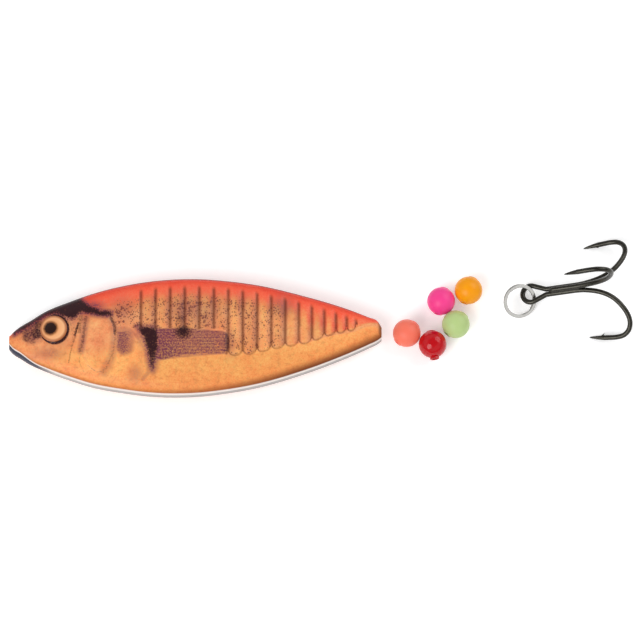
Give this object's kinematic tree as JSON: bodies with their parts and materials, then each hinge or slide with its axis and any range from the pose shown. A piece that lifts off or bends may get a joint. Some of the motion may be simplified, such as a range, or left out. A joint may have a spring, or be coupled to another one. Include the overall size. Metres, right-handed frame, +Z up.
{
  "type": "inline spinner (fishing gear)",
  "caption": "Fish-shaped through-line lure body with a lined bore and inner ballast, loose bearing beads, and a treble hook on a split ring.",
  "frame": {"origin": "centre of the whole set's bounding box in plan, on the surface that the set lies on", "axes": "+X from the lure's nose towards the treble hook, +Y towards the lure's back edge, +Z up from the surface that the set lies on"},
  "size_m": [0.134, 0.0356, 0.0197],
  "materials": {
    "printed_lacquer": "clear coat over a printed fish pattern on both sides, red-orange back to gold belly, silver along the belly seam",
    "tube_plastic": "milky smooth tube plastic",
    "ballast_metal": "dull grey cast ballast alloy",
    "eye_enamel": "glossy domed eye, cream-orange with a dark pupil",
    "bead_salmon_gloss": "glossy salmon plastic",
    "bead_red_gloss": "glossy translucent red plastic",
    "bead_pink_gloss": "glossy pink plastic",
    "bead_green_gloss": "glossy translucent pale green plastic",
    "bead_orange_gloss": "glossy orange plastic",
    "black_nickel": "glossy black nickel plate on hook wire",
    "ring_steel": "bright polished stainless steel"
  },
  "bodies": {
    "lure": {"printed_shell": "printed_lacquer", "back_shell": "printed_lacquer", "line_tube": "tube_plastic", "head_weight": "ballast_metal", "belly_weight": "ballast_metal", "eye_front": "eye_enamel", "eye_back": "eye_enamel"},
    "salmon_bead": {"bead_salmon": "bead_salmon_gloss"},
    "red_bead": {"bead_red": "bead_red_gloss"},
    "pink_bead": {"bead_pink": "bead_pink_gloss"},
    "green_bead": {"bead_pale_green": "bead_green_gloss"},
    "orange_bead": {"bead_orange": "bead_orange_gloss"},
    "treble": {"treble_double_wire": "black_nickel", "treble_third_hook": "black_nickel"},
    "ring": {"split_ring": "ring_steel"}
  },
  "joints": [
    {"name": "salmon_bead_lift", "type": "slide", "parent": "lure", "child": "salmon_bead", "axis": [0, 0, 1], "range_m": [0, 0.03]},
    {"name": "red_bead_lift", "type": "slide", "parent": "lure", "child": "red_bead", "axis": [0, 0, 1], "range_m": [0, 0.03]},
    {"name": "pink_bead_lift", "type": "slide", "parent": "lure", "child": "pink_bead", "axis": [0, 0, 1], "range_m": [0, 0.03]},
    {"name": "green_bead_lift", "type": "slide", "parent": "lure", "child": "green_bead", "axis": [0, 0, 1], "range_m": [0, 0.03]},
    {"name": "orange_bead_lift", "type": "slide", "parent": "lure", "child": "orange_bead", "axis": [0, 0, 1], "range_m": [0, 0.03]},
    {"name": "treble_lift", "type": "slide", "parent": "lure", "child": "treble", "axis": [0, 0, 1], "range_m": [0, 0.03]},
    {"name": "ring_swing", "type": "hinge", "parent": "treble", "child": "ring", "pos_m": [0.04546, 0.00601, 0.00199], "axis": [-0.4871, 0.7053, 0.5152], "range_deg": [-30, 10]}
  ]
}
